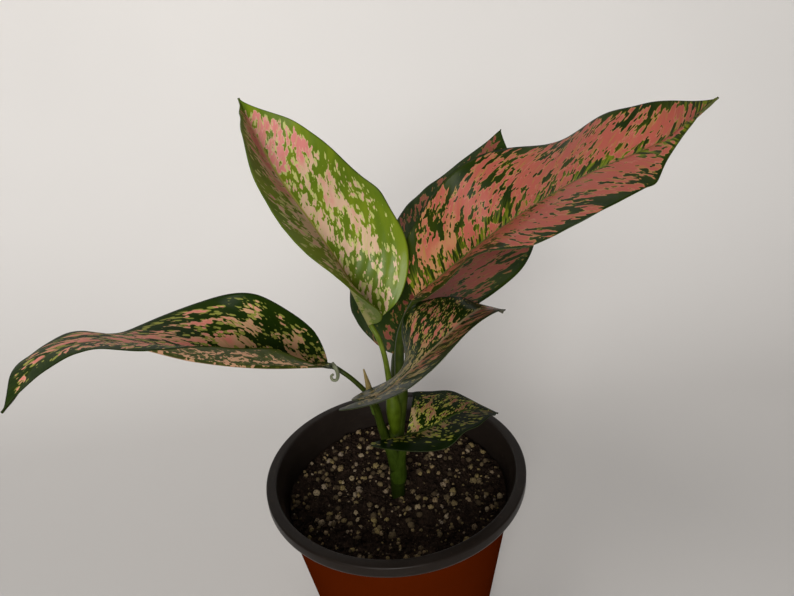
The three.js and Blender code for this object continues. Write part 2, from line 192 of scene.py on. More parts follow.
# How finely a blade is made, and its folds, veins and relief in millimetres.
BLADE_ROWS = 160
HALF_COLUMNS = 32
COLUMN_CROWDING = 1.25  # above 1 crowds the columns towards the midrib
FOLD_SLICES = 24
NARROWEST = 0.3  # half width at the very tip
BASE_ARC = 0.6  # power of the outline's arc at the base, where a lower one widens faster
BASE_ROUNDING = 2.5  # how square the base's rounded end is
FOLD = 1.5  # mm over which a wide half bends out of the midrib
NARROW_FOLD = (0.3, 0.06)  # the same for a narrow half: a start, and a share of its width
LOBE_SHARE = 0.3  # share of the length over which a lobe fades out
SPINE_SMOOTHING = (-0.08, -0.04, 0.0, 0.04, 0.08)  # shares of a spine whose directions are averaged
VEIN_WIDTH = 0.55
VEIN_BEND = 0.3  # how strongly the side veins bend on towards the tip
QUILTING = 0.6  # height of the quilting between veins, as a share of a vein's depth
CHANNEL_WIDTH, CHANNEL_DEPTH = 0.9, 0.35  # of the midrib's channel at the base
CHANNEL_FADE, RIB_FADE = 0.6, 0.75  # shares of its depth and of the ridge's height lost up to the tip
COCKLING = 0.35  # height of the slow unevenness at the edge
COCKLE_WAVES = (12, 30, 9)  # its count, longest and shortest wave
RIB_WIDTH = (1.5, 0.7)  # of the midrib's ridge below: at the base, and what it loses up to the tip

# Each stalk starts as a collar round the cane, leaves it, and ends at its leaf's base. It has
# a radius for each point of its path, and a last one for the base. A grid is the rows along a
# rod and the columns round it.
STALK_GRID = (72, 28)
RUN_ON = 0.08  # share of a leaf's length by which its stalk runs on under the midrib
RUN_ON_THINNING = 0.4  # share of the stalk's radius that is left there
UV_LENGTH = 20  # mm along a rod for each unit of its UV map
STALKS = {
    "young": dict(
        path=[(1.4, -4.6, 122.5), (1.5, -4.4, 127), (1.5, -4.2, 133), (1.6, -4, 139), (1.2, -3.6, 146),
              (0.6, -2.8, 153), (-0.2, -2.2, 163), (-2, -1.6, 172)],
        radius=(0.8, 2.1, 3.1, 3.4, 2.3, 1.4, 1.15, 1.15, 1.15)),
    "large": dict(
        path=[(1.3, -3.1, 117), (1.6, -2.9, 122), (2.6, -2.2, 129), (4.4, -1.2, 137), (5.4, -1, 145),
              (5.6, -0.6, 156), (6.6, 0, 168), (9.6, 0.2, 178)],
        radius=(3.55, 3.7, 3.5, 3.1, 3.1, 2.3, 2.1, 1.9, 1.8)),
    "back": dict(
        path=[(1.2, -2.8, 114), (1.5, -1.9, 119), (2.2, 0.4, 126), (2.8, 2.6, 135), (3.4, 9, 145)],
        radius=(3.6, 3.7, 3.0, 2.7, 2.3, 1.9)),
    "left": dict(
        path=[(1, -3.1, 110.5), (0.4, -3, 114), (-1.6, -2.6, 119.5), (-4.2, -2.6, 127), (-6.2, -4, 138),
              (-8.2, -5.8, 146.5), (-12, -7, 153.5), (-17.5, -7, 160)],
        radius=(3.7, 3.8, 3.1, 2.1, 1.6, 1.3, 1.1, 1.05, 1.05)),
    "front": dict(
        path=[(0.9, -3.2, 105.5), (0.6, -3.5, 109), (-0.8, -4.5, 115), (-3.2, -5.4, 122.5),
              (-4.8, -6.6, 132), (-5.8, -9.6, 142), (-7.4, -16, 151), (-9.4, -25, 158.6)],
        radius=(3.85, 4.0, 3.2, 2.1, 1.9, 1.6, 1.4, 1.3, 1.2)),
    "low": dict(
        path=[(0.7, -3, 98), (1, -3.4, 102), (1.7, -4.7, 107), (2.8, -6.2, 113), (4.4, -7.4, 120)],
        radius=(3.75, 4.05, 3.2, 2.3, 1.8, 1.3)),
}
CANE = dict(
    grid=(160, 36),
    path=[(0, -3, 52), (0, -3, 86), (0.8, -3, 103), (1.2, -3.2, 116), (1.4, -3.4, 125)],
    radius=(3.2, 3.2, 3.7, 3.4, 2.6))
SHEATH_TIP = dict(
    grid=(50, 28),
    path=[(-6, -6.5, 139), (-7.6, -8.4, 149), (-8.4, -9.4, 156), (-9.4, -10, 163)],
    radius=(2.2, 1.8, 1.1, 0.35))
# The little curled end of the left leaf's lobe.
HOOK = dict(
    grid=(40, 16),
    path=[(-22, -10, 167.2), (-20.6, -11.8, 166), (-20, -12.4, 163), (-20.8, -12.6, 160.8),
          (-22.4, -12.6, 161), (-22.8, -12.4, 162.6), (-21.8, -12.2, 163.4)],
    radius=(0.9, 0.85, 0.75, 0.65, 0.6, 0.55, 0.5))
HOOK_COLOR = (0.07, 0.085, 0.04)

# Each stem's pale lines, the colour at its foot and its roughness. turn gives the heights in
# metres between which the foot's colour turns into its own, where they aren't the usual ones.
USUAL_TURN = (0.09, 0.15)
STEM_LOOKS = {
    "stalk_young": dict(
        pale=(0.12, 0.16, 0.02), foot=(0.03, 0.047, 0.002), roughness=0.36, turn=(0.136, 0.165)),
    "stalk_green": dict(pale=(0.03, 0.042, 0.004), foot=(0.014, 0.026, 0.002), roughness=0.38),
    "cane": dict(pale=(0.015, 0.022, 0.003), foot=(0.007, 0.012, 0.001), roughness=0.42),
    "lobe_curl": dict(pale=(0.2, 0.21, 0.14), foot=(0.035, 0.0425, 0.02), roughness=0.35),
    "dry_sheath": dict(
        pale=(0.26, 0.2, 0.08), foot=(0.03, 0.05, 0.005), roughness=0.6, turn=(0.146, 0.156)),
}
# A pumice or perlite grain's colour by its tone.
GRAIN_TONES = [
    (0.0, (0.05, 0.034, 0.018)), (0.3, (0.11, 0.08, 0.042)), (0.55, (0.2, 0.15, 0.06)),
    (0.75, (0.2, 0.14, 0.075)), (0.9, (0.21, 0.165, 0.12)), (1.0, (0.3, 0.23, 0.13)),
]
DUST = (0.03, 0.02, 0.014)
GRAIN_DIRT = (0.03, 0.022, 0.015)
PEAT_FLECKS = (0.09, 0.06, 0.04)
LEAF_RIM = (0.012, 0.016, 0.005)

# The pot's inside and underside. Only the centre foot and the heel touch the table.
POT_SIDES = 192
LIP_FACE = 4.5
LIP_EDGE = 1.2  # height over which the lip's outer face slopes in at its foot
LIP_SLOPE = 0.5  # how far it slopes in there
CENTRE_FOOT = 22
FLOOR_RAISE = 2
FLOOR_SLOPE = 2  # width of the slopes up to the raised ring
FLOOR_TOP = 4
HEEL_WIDTH = 2.5
DRAIN_HOLES = 8
DRAIN_RADIUS = 4
DRAIN_CIRCLE = 29
DRAIN_SIDES = 32
DRILL_REACH = (-3, 7)  # heights at which a drill for them starts and ends

# The soil's surface: sides, rings, its foot's height, the dip at the cane as depth and
# width, and its roughness as height, then the seed, count, longest and shortest wave.
SOIL_SIDES = 220
SOIL_RINGS = 100
SOIL_FOOT = 4.3
CANE_DIP = (2.5, 9)
SOIL_ROUGHNESS = 0.55
SOIL_WAVES = (5, 60, 9, 1.6)
SOIL_GAPS = (0.2, 0.3)  # between the soil and the wall, at the top and at the foot

# Loose bits on the soil: the smallest, the largest, and the least share that one is flattened to.
CRUMB_SIZES = (0.35, 1.5, 0.45)
GRAIN_SIZES = (0.5, 2.2, 0.65)
SIZE_POWER = 1.6  # above 1 small bits are commoner than large ones
LIFT = 0.1  # share of its size by which a bit's middle stands above the soil
DENTS = 0.22  # share of its size by which a bit's corners are pushed in or out
EDGE_GAP = 1.0  # left free of bits at the wall
SCATTER_SEED = 7

# The camera stands in front of the pot and a little above the leaves. Its angles are in
# degrees: pitch down, yaw to the right and roll.
CAMERA = {
    "place": (0.0, -223.7, 289.8),
    "pitch": 24.2,
    "yaw": 1.8,
    "roll": 4.66,
    "frame_width": 794,
    "focal_pixels": 597,
    "sensor": 36.0,
}
# Square soft lights: place, target and width in metres, and colour.
LIGHTS = {
    "key": ((-0.35, -1.9, 0.8), (0.0, 0.05, 0.17), 0.9, (1.0, 0.98, 0.95)),
    "ceiling": ((-0.45, -0.35, 1.2), (0.0, 0.0, 0.17), 0.4, (1.0, 0.96, 0.92)),
}
SKY = (0.97, 0.97, 1.0)


# -------- settings

LENGTH = {"unit": "LENGTH", "subtype": "DISTANCE"}
COLOR = {"subtype": "COLOR", "min": 0, "max": 1}


class PotSettings(bpy.types.PropertyGroup):
    height: FloatProperty(
        name="Height", description="From the table to the top of the lip", default=POT_HIGH[2], **LENGTH)
    rim_radius: FloatProperty(
        name="Rim Radius", description="Half the width across the lip", default=POT_HIGH[0], **LENGTH)
    taper: FloatProperty(
        name="Taper", description="Lean of the wall from the upright",
        default=math.radians(9), unit="ROTATION", subtype="ANGLE")
    wall: FloatProperty(name="Wall", description="Thickness of the wall", default=1.5 * MM, **LENGTH)
    lip_height: FloatProperty(
        name="Lip Height", description="Height of the lip's outer face", default=5.5 * MM, **LENGTH)
    lip_overhang: FloatProperty(
        name="Lip Overhang", description="How far the lip stands out past the wall",
        default=5.5 * MM, **LENGTH)
    outside_color: FloatVectorProperty(
        name="Outside", description="Colour of the wall's outer layer",
        default=(0.058, 0.0075, 0.0005), **COLOR)
    inside_color: FloatVectorProperty(
        name="Inside", description="Colour of the lip and the inner layer",
        default=(0.011, 0.008, 0.0063), **COLOR)


class SoilSettings(bpy.types.PropertyGroup):
    below_rim: FloatProperty(
        name="Below Rim", description="Depth of the soil below the top of the lip",
        default=15 * MM, **LENGTH)
    swell: FloatProperty(
        name="Swell", description="Height of the slow waves in the surface", default=0.9 * MM, **LENGTH)
    grains: IntProperty(name="Grains", description="Number of pale grains", default=700, min=0)
    crumbs: IntProperty(name="Crumbs", description="Number of dark crumbs", default=4200, min=0)
    color: FloatVectorProperty(
        name="Soil", description="Colour of the damp soil", default=(0.01, 0.006, 0.004), **COLOR)


class FoliageSettings(bpy.types.PropertyGroup):
    blade: FloatProperty(
        name="Blade", description="Thickness of a blade between its veins", default=0.45 * MM, **LENGTH)
    midrib: FloatProperty(
        name="Midrib", description="Thickness added by the midrib at a leaf's base",
        default=1.5 * MM, **LENGTH)
    vein_spacing: FloatProperty(
        name="Vein Spacing", description="Between the side veins, along the midrib",
        default=6.5 * MM, **LENGTH)
    vein_depth: FloatProperty(
        name="Vein Depth", description="How far a side vein sinks into the upper side",
        default=0.08 * MM, **LENGTH)
    roughness: FloatProperty(
        name="Roughness", description="Roughness of the leaves' waxy skin",
        default=0.3, subtype="FACTOR", min=0, max=1)
    stalk_color: FloatVectorProperty(
        name="Stalk", description="Colour of the stalks", default=(0.016, 0.027, 0.002), **COLOR)
    young_stalk_color: FloatVectorProperty(
        name="Young Stalk", description="Colour of the young leaf's stalk and sheath",
        default=(0.065, 0.095, 0.005), **COLOR)
    cane_color: FloatVectorProperty(
        name="Cane", description="Colour of the cane", default=(0.006, 0.011, 0.001), **COLOR)
    dry_color: FloatVectorProperty(
        name="Dry Sheath", description="Colour of the old sheath's tip",
        default=(0.17, 0.12, 0.035), **COLOR)


class StageSettings(bpy.types.PropertyGroup):
    backdrop_color: FloatVectorProperty(
        name="Backdrop", description="Colour of the backdrop", default=(0.84, 0.82, 0.8), **COLOR)
    key_power: FloatProperty(
        name="Key Light", description="Power of the large soft light in front",
        default=40.0, unit="POWER", min=0)
    ceiling_power: FloatProperty(
        name="Ceiling Light", description="Power of the small light overhead",
        default=2.5, unit="POWER", min=0)
    fill: FloatProperty(name="Fill", description="Strength of the light from all round", default=0.1, min=0)


class EvergreenSettings(bpy.types.PropertyGroup):
    pot: PointerProperty(type=PotSettings, name="Pot", description="The nursery pot")
    soil: PointerProperty(type=SoilSettings, name="Soil", description="The soil in the pot")
    foliage: PointerProperty(type=FoliageSettings, name="Foliage", description="Leaves, stalks and cane")
    stage: PointerProperty(type=StageSettings, name="Stage", description="Backdrop, light and camera")


# -------- curves and grids

def unit(vectors):
    """Vectors divided by their own lengths."""
    return vectors / np.linalg.norm(vectors, axis=-1, keepdims=True)


def through(points, u):
    """A Catmull-Rom curve through points, at u from 0 at the first to 1 at the last: each
    stretch is the cubic that leaves and enters its points at half the step between their
    neighbours, and the ends have a neighbour mirrored from the next point."""
    points = np.atleast_2d(np.asarray(points, float))
    reach = np.vstack([2 * points[0] - points[1], points, 2 * points[-1] - points[-2]])
    place = np.clip(u, 0, 1) * (len(points) - 1)
    first = np.minimum(place.astype(int), len(points) - 2)
    f = (place - first)[:, None]
    before, start, end, after = (reach[first + k] for k in range(4))
    leave = (end - before) / 2
    enter = (after - start) / 2
    return ((2 * start - 2 * end + leave + enter) * f**3
            + (3 * end - 3 * start - 2 * leave - enter) * f**2 + leave * f + start)


def read_along(values, s):
    """Single values read as one smooth curve at s."""
    return through(np.asarray(values, float)[:, None], s)[:, 0]


def follow(points, s, values=None):
    """Places and unit directions at the shares s of a curve's length, and the length, or the
    values given for its points, read at the same places."""
    fine = np.linspace(0, 1, 401)
    steps = np.linalg.norm(np.diff(through(points, fine), axis=0), axis=1)
    run = np.concatenate([[0.0], np.cumsum(steps)])
    u = np.interp(s * run[-1], run, fine)
    reach = 1e-3
    direction = through(points, np.minimum(u + reach, 1)) - through(points, np.maximum(u - reach, 0))
    return through(points, u), unit(direction), run[-1] if values is None else read_along(values, u)


def ease(value, low, high):
    """0 below low, 1 above high, and a smooth step between."""
    f = np.clip((value - low) / (high - low), 0, 1)
    return f * f * (3 - 2 * f)


def waves(x, y, seed, count, longest, shortest):
    """A random field near -1 to 1: the sum of count sines with drawn directions, phases and
    wavelengths, each as high as its wavelength is long."""
    random = np.random.default_rng(seed)
    length = longest * (shortest / longest) ** random.random(count)
    angle = FULL_TURN * random.random(count)
    phase = FULL_TURN * random.random(count)
    total = np.zeros_like(x)
    for k in range(count):
        across = x * math.cos(angle[k]) + y * math.sin(angle[k])
        total += length[k] * np.sin(FULL_TURN * across / length[k] + phase[k])
    return total / np.sqrt(np.sum(length**2) / 2) / 2


def grid_faces(rows, columns, closed=False):
    """Quads of a grid, row by row, facing up where rows run away and columns to the right."""
    j = np.arange(columns if closed else columns - 1)
    near = np.arange(rows - 1)[:, None] * columns + j
    near_next = near - j + (j + 1) % columns
    return np.stack([near, near_next, near_next + columns, near + columns], -1).reshape(-1, 4)


def sheet_faces(rows, columns):
    """Quads of an upper grid, a lower grid after it, and the rim that joins them."""
    above = grid_faces(rows, columns)
    drop = rows * columns
    below = above[:, ::-1] + drop
    index = np.arange(drop).reshape(rows, columns)
    edge = np.concatenate([index[0, :-1], index[:-1, -1], index[-1, :0:-1], index[:0:-1, 0]])
    ahead = np.roll(edge, -1)
    rim = np.stack([edge, edge + drop, ahead + drop, ahead], -1)
    return np.concatenate([above, below, rim])


def closed_tube(rings, poles):
    """A tube from rows of rings, with its two ends closed by fans to their poles."""
    rows, columns = rings.shape[:2]
    first = np.arange(columns)
    last = first + (rows - 1) * columns
    foot = np.full(columns, rows * columns)
    faces = [
        grid_faces(rows, columns, closed=True),
        np.stack([foot, np.roll(first, -1), first], -1),
        np.stack([foot + 1, last, np.roll(last, -1)], -1),
    ]
    return np.concatenate([rings.reshape(-1, 3), poles]), faces


def turned(profile, sides):
    """A closed solid of revolution from (radius, height) points that start and end on the axis."""
    profile = np.asarray(profile, float)
    radius, height = profile[1:-1, :1], profile[1:-1, 1:]
    angle = FULL_TURN * np.arange(sides) / sides
    rings = np.stack(np.broadcast_arrays(radius * np.cos(angle), radius * np.sin(angle), height), -1)
    return closed_tube(rings, [[0, 0, profile[0, 1]], [0, 0, profile[-1, 1]]])


def new_object(name, points, faces, finishes, layers=None, uv=None, smooth=True):
    """A mesh object in metres from points in millimetres and a list of arrays of faces."""
    mesh = bpy.data.meshes.new(name)
    corners = np.concatenate([part.ravel() for part in faces])
    sizes = np.concatenate([np.full(len(part), part.shape[1]) for part in faces])
    mesh.vertices.add(len(points))
    mesh.vertices.foreach_set("co", (points * MM).ravel())
    mesh.loops.add(len(corners))
    mesh.loops.foreach_set("vertex_index", corners.astype(np.int32))
    mesh.polygons.add(len(sizes))
    mesh.polygons.foreach_set("loop_start", np.concatenate([[0], np.cumsum(sizes)[:-1]]).astype(np.int32))
    mesh.update(calc_edges=True)
    mesh.polygons.foreach_set("use_smooth", np.full(len(sizes), smooth))
    for label, values in (layers or {}).items():
        kind, key = ("FLOAT_VECTOR", "vector") if values.ndim == 2 else ("FLOAT", "value")
        layer = mesh.attributes.new(label, kind, "POINT")
        layer.data.foreach_set(key, values.astype(np.float32).ravel())
    if uv is not None:
        mesh.uv_layers.new(name="UVMap").data.foreach_set("uv", uv[corners].astype(np.float32).ravel())
    for material in finishes:
        mesh.materials.append(material)
    made = bpy.data.objects.new(name, mesh)
    bpy.context.scene.collection.objects.link(made)
    return made


def new_piece(name, points, faces, finishes, slot, **more):
    """A mesh object that rides on the plant's body. The slot it is given is not used."""
    piece = new_object(name, points, faces, finishes, **more)
    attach(piece, BODY)
    return piece


# -------- node helpers

class Graph:
    """Short calls that add nodes to one tree. Any input takes a socket or a plain value."""

    def __init__(self, tree):
        self.tree = tree

    def node(self, kind, inputs=None, **settings):
        node = self.tree.nodes.new(kind)
        node.location = (180 * len(self.tree.nodes), 0)
        for key, value in settings.items():
            setattr(node, key, value)
        for key, value in (inputs or {}).items():
            self.feed(node.inputs[key], value)
        return node

    def feed(self, socket, value):
        if isinstance(value, bpy.types.NodeSocket):
            self.tree.links.new(value, socket)
        elif socket.type == "RGBA":
            socket.default_value = (*value[:3], 1.0)
        else:
            socket.default_value = value

    def math(self, operation, *values, clamp=False):
        inputs = dict(enumerate(values))
        return self.node("ShaderNodeMath", inputs, operation=operation, use_clamp=clamp).outputs[0]

    def times(self, first, second):
        return self.math("MULTIPLY", first, second)

    def plus(self, first, second):
        return self.math("ADD", first, second)

    def less(self, first, second):
        return self.math("SUBTRACT", first, second)

    def opposite(self, value):
        """1 minus a value."""
        return self.math("SUBTRACT", 1.0, value)

    def onto(self, base, value, weight, clamp=False):
        """A value times its weight, added to a base."""
        return self.math("MULTIPLY_ADD", value, weight, base, clamp=clamp)

    def vector(self, operation, *values):
        return self.node("ShaderNodeVectorMath", dict(enumerate(values)), operation=operation).outputs[0]

    def combine(self, x, y, z):
        return self.node("ShaderNodeCombineXYZ", {"X": x, "Y": y, "Z": z}).outputs[0]

    def separate(self, vector):
        return self.node("ShaderNodeSeparateXYZ", {0: vector}).outputs

    def mix(self, share, first, second):
        inputs = {0: share, 6: first, 7: second}
        return self.node("ShaderNodeMix", inputs, data_type="RGBA", clamp_factor=True).outputs[2]

    def step(self, value, low, high):
        """0 below low, 1 above high, and a smooth step between."""
        inputs = {"Value": value, "From Min": low, "From Max": high}
        return self.node("ShaderNodeMapRange", inputs, interpolation_type="SMOOTHSTEP").outputs[0]

    def noise(self, vector, scale=1.0, detail=2.0, roughness=0.5):
        inputs = {"Vector": vector, "Scale": scale, "Detail": detail, "Roughness": roughness}
        return self.node("ShaderNodeTexNoise", inputs).outputs["Fac"]

    def dots(self, vector, chance):
        """Round dots of drawn sizes, one in each cell of a jittered grid, kept by chance."""
        inputs = {"Vector": vector, "Scale": 1.0}
        cell = self.node("ShaderNodeTexVoronoi", inputs, voronoi_dimensions="2D").outputs
        drawn = self.separate(cell["Color"])[0]
        size = self.times(self.plus(self.less(drawn, 1.0), chance), 0.6)
        return self.step(self.less(size, cell["Distance"]), -0.06, 0.06)

    def ramp(self, value, stops):
        """A colour ramp from (place, colour) pairs."""
        node = self.node("ShaderNodeValToRGB", {0: value})
        elements = node.color_ramp.elements
        for place, color in stops[1:-1]:
            elements.new(place)
        for element, (place, color) in zip(elements, stops):
            element.position = place
            element.color = (*color, 1.0)
        return node.outputs[0]

    def attribute(self, name, output="Fac"):
        return self.node("ShaderNodeAttribute", attribute_name=name).outputs[output]

    def place(self):
        """Object coordinates, in metres."""
        return self.node("ShaderNodeTexCoord").outputs["Object"]

    def group(self, tree, inputs):
        return self.node("ShaderNodeGroup", inputs, node_tree=tree).outputs


def new_group(name, inputs, outputs):
    """An empty node group with named sockets: its graph, its inputs and its output node."""
    tree = bpy.data.node_groups.new(name, "ShaderNodeTree")
    for direction, labels in (("INPUT", inputs), ("OUTPUT", outputs)):
        for label, kind in labels.items():
            tree.interface.new_socket(label, in_out=direction, socket_type=f"NodeSocket{kind}")
    graph = Graph(tree)
    return graph, graph.node("NodeGroupInput").outputs, graph.node("NodeGroupOutput").inputs


def new_material(name, **shader):
    """A material whose Principled shader has plain values set, and its graph."""
    material = bpy.data.materials.new(name)
    material.use_nodes = True
    graph = Graph(material.node_tree)
    principled = material.node_tree.nodes["Principled BSDF"]
    for key, value in shader.items():
        graph.feed(principled.inputs[key.replace("_", " ").title().replace("Ior", "IOR")], value)
    return material, graph


def finished(material, graph, color, roughness, height, strength, distance):
    """The material, with a colour, a roughness and a bump, its distance in mm, fed to its shader."""
    bump = graph.node("ShaderNodeBump", {"Height": height, "Strength": strength, "Distance": distance * MM})
    shader = material.node_tree.nodes["Principled BSDF"].inputs
    graph.feed(shader["Base Color"], color)
    graph.feed(shader["Roughness"], roughness)
    graph.feed(shader["Normal"], bump.outputs[0])
    return material


def tinted(color, factor):
    return tuple(factor * part for part in color)


# -------- finishes

def variegation_group():
    """Ragged pink blotches with a yellow-green halo on green, drawn out along the side veins,
    with pale specks round them and a green margin and tip. Noises for the blotches, for
    their lobes, for the teeth at their ends and for streaks by the midrib are summed with
    the leaf's own lean to pink, and everything above zero is pink."""
    sockets = {"Map": "Vector", "Zone": "Vector", "Lean": "Float", "Under": "Float"}
    for label, row in PATTERNS.items():
        sockets[label] = "Color" if isinstance(row[0], tuple) else "Float"
    graph, given, give = new_group("Variegation", sockets, {"Color": "Color", "Grain": "Float"})
    times, plus, less, onto = graph.times, graph.plus, graph.less, graph.onto
    mix, step, opposite = graph.mix, graph.step, graph.opposite
    across, along, seed = graph.separate(given["Map"])
    edge, from_midrib, share = graph.separate(given["Zone"])
    halo = given["Halo"]
    peach_below = given["Peach Below"]

    def field(width, length, detail, shift):
        """Noise round zero, drawn out to a width and a length in mm."""
        place = graph.combine(graph.math("DIVIDE", across, width), graph.math("DIVIDE", along, length),
                              plus(seed, shift))
        return less(graph.noise(place, 1.0, detail, 0.55), 0.5)

    width = given["Blotch Width"]
    length = times(width, given["Stretch"])
    blotch = field(width, length, 0.5, 0.0)
    lobes = field(times(width, 0.28), times(length, 0.42), 1.5, 7.0)
    teeth = field(0.8, 2.2, 1.0, 13.0)
    streak = field(0.8, 9.0, 1.5, 17.0)
    tone = field(9.0, 26.0, 2.0, 29.0)
    fleck = step(field(1.5, 3.0, 1.0, 41.0), 0.1, 0.2)

    # The level, which is above zero where the leaf is pink.
    fans = times(given["Fans"], opposite(step(from_midrib, 1.0, 13.0)))
    level = onto(blotch, lobes, given["Ragged"])
    level = onto(level, teeth, times(given["Ragged"], 0.35))
    level = onto(level, streak, fans)
    level = plus(level, given["Lean"])
    level = onto(level, fans, -0.05)
    level = onto(level, fleck, times(given["Flecks"], -1.0))
    rim_width = onto(given["Margin"], tone, 14.0)
    inside = step(edge, times(rim_width, 0.25), rim_width)
    level = onto(level, less(inside, 1.0), 0.2)
    at_tip = step(share, given["Tip"], plus(given["Tip"], 0.05))
    level = onto(level, at_tip, -0.3)

    # Green, livelier next to the pink, with specks that thin out away from it.
    lively = times(step(tone, -0.1, 0.14), given["Mottle"])
    lively = onto(lively, fans, step(streak, -0.1, 0.1), clamp=True)
    lively = onto(lively, step(level, -0.06, -0.005), 0.4, clamp=True)
    green = mix(lively, given["Deep Green"], given["Bright Green"])
    chance = times(step(level, -0.5, -0.1), given["Specks"])
    pitch = onto(0.5, width, 0.22)
    cells = graph.vector("DIVIDE", graph.vector("MULTIPLY", given["Map"], (1.0, 0.68, 0.0)), pitch)
    speck = graph.dots(graph.vector("ADD", cells, seed), chance)
    speck = times(times(speck, step(edge, 1.0, 3.5)), opposite(at_tip))
    green = mix(speck, green, halo)

    # Pink, rosier in the middle of a blotch, and peach towards the leaf's base.
    drifting = onto(share, tone, 1.2)
    warmth = opposite(step(drifting, less(peach_below, 0.12), plus(peach_below, 0.12)))
    pink = mix(step(level, 0.03, 0.14), given["Pink"], given["Rose"])
    pink = mix(warmth, pink, given["Peach"])
    pink = mix(times(step(streak, 0.02, 0.2), 0.45), pink, halo)
    pink = mix(step(level, 0.0, 0.03), mix(0.5, pink, halo), pink)
    cut = step(level, -0.006, 0.006)
    color = mix(cut, mix(step(level, -0.02, -0.012), green, halo), pink)

    # The midrib's line, the thin dark rim, and the paler underside.
    line = times(opposite(step(from_midrib, 0.3, 0.75)), opposite(step(share, 0.6, 0.95)))
    color = mix(line, color, given["Midrib"])
    color = mix(times(opposite(step(edge, 0.15, 0.5)), 0.5), color, LEAF_RIM)
    pale = mix(given["Show Through"], given["Back"], given["Peach"])
    back = mix(graph.math("MAXIMUM", cut, line), given["Back"], pale)
    color = mix(times(given["Under"], 0.85), color, back)
    graph.feed(give["Color"], color)
    graph.feed(give["Grain"], onto(streak, teeth, 0.5))
    return graph.tree


def leaf_finish(name, variegation, roughness):
    """The leaf's pattern under a thin waxy skin, with its finest veins as bump."""
    material, graph = new_material(
        f"leaf_{name}", coat_weight=LEAVES[name]["wax"], coat_roughness=0.28, specular_ior_level=0.0)
    order = list(LEAVES).index(name)
    under = graph.attribute("under")
    inputs = {label: row[order] for label, row in PATTERNS.items()}
    inputs["Map"] = graph.attribute("leaf_map", "Vector")
    inputs["Zone"] = graph.attribute("leaf_zone", "Vector")
    inputs["Lean"] = graph.attribute("leaf_lean")
    inputs["Under"] = under
    pattern = graph.group(variegation, inputs)
    wax = graph.onto(graph.onto(roughness, pattern["Grain"], 0.25), under, 0.2)
    return finished(material, graph, pattern["Color"], wax, pattern["Grain"], 0.35, 0.12)


def fibre_group():
    """Fine lines along a stalk: noise on the piece's UV map, stretched along its length, with
    a slower drift of tone. Shade is 0 to 1 and Height feeds a bump."""
    graph, given, give = new_group(
        "Fibres", {"Lines": "Float", "Drift": "Float"}, {"Shade": "Float", "Height": "Float"})
    around, along, _ = graph.separate(graph.node("ShaderNodeUVMap", uv_map="UVMap").outputs[0])
    turn = graph.times(around, FULL_TURN)
    ring = (graph.math("COSINE", turn), graph.math("SINE", turn))
    lines = graph.combine(*(graph.times(part, given["Lines"]) for part in ring), graph.times(along, 1.5))
    drift = graph.combine(*ring, graph.times(along, given["Drift"]))
    height = graph.noise(lines, 1.0, 3.0)
    shade = graph.onto(graph.times(graph.noise(drift), 0.8), height, 0.5)
    graph.feed(give["Shade"], graph.step(shade, 0.45, 0.85))
    graph.feed(give["Height"], height)
    return graph.tree


def stem_finish(name, color):
    """Skin with fine lengthwise lines, which turns from its foot's colour to its own between
    two heights."""
    look = STEM_LOOKS[name]
    material, graph = new_material(name, coat_weight=0.06, coat_roughness=0.2, specular_ior_level=0.08)
    fibres = bpy.data.node_groups.get("Fibres") or fibre_group()
    fibre = graph.group(fibres, {"Lines": 7.0, "Drift": 5.0})
    lift = graph.step(graph.separate(graph.place())[2], *look.get("turn", USUAL_TURN))
    pale = graph.mix(lift, tinted(look["foot"], 1.6), look["pale"])
    base = graph.mix(fibre["Shade"], graph.mix(lift, look["foot"], tuple(color)), pale)
    skin = graph.onto(look["roughness"], fibre["Shade"], 0.12)
    return finished(material, graph, base, skin, fibre["Height"], 0.3, 0.15)


def scuff_group():
    """Handling marks on plastic: Haze is a slow cloud, Marks fine scratches and specks."""
    graph, given, give = new_group(
        "Scuffs", {"Amount": "Float"}, {"Haze": "Float", "Marks": "Float", "Height": "Float"})
    place = graph.place()
    haze = graph.noise(place, 45.0, 4.0, 0.6)
    marks = graph.noise(graph.vector("MULTIPLY", place, (1.0, 1.0, 7.0)), 260.0, 3.0, 0.7)
    pores = graph.noise(place, 1400.0)
    graph.feed(give["Haze"], graph.times(graph.step(haze, 0.4, 0.75), given["Amount"]))
    graph.feed(give["Marks"], graph.times(graph.step(marks, 0.6, 0.68), given["Amount"]))
    graph.feed(give["Height"], graph.onto(marks, pores, 0.6))
    return graph.tree


def plastic_finish(name, scuffs, color, amount, roughness, gloss):
    """Moulded plastic with scuffs, and soil dust that clings to it."""
    material, graph = new_material(name, specular_ior_level=gloss)
    wear = graph.group(scuffs, {"Amount": amount})
    base = graph.mix(wear["Haze"], tuple(color), tinted(color, 1.35))
    base = graph.mix(graph.times(wear["Marks"], 0.5), base, DUST)
    shine = graph.onto(roughness, wear["Haze"], 0.2)
    return finished(material, graph, base, shine, wear["Height"], 0.12, 0.1)


def soil_finish(color):
    """Damp dark peat: brown flecks and fibres on near-black, rough all over."""
    material, graph = new_material("soil", specular_ior_level=0.05)
    place = graph.place()
    clods = graph.noise(place, 320.0, 4.0, 0.65)
    flecks = graph.noise(place, 1300.0)
    base = graph.mix(graph.step(clods, 0.4, 0.7), tuple(color), tinted(color, 2.6))
    base = graph.mix(graph.times(graph.step(flecks, 0.62, 0.7), 0.5), base, PEAT_FLECKS)
    return finished(material, graph, base, graph.onto(1.0, clods, -0.3), graph.plus(clods, flecks), 0.6, 0.5)


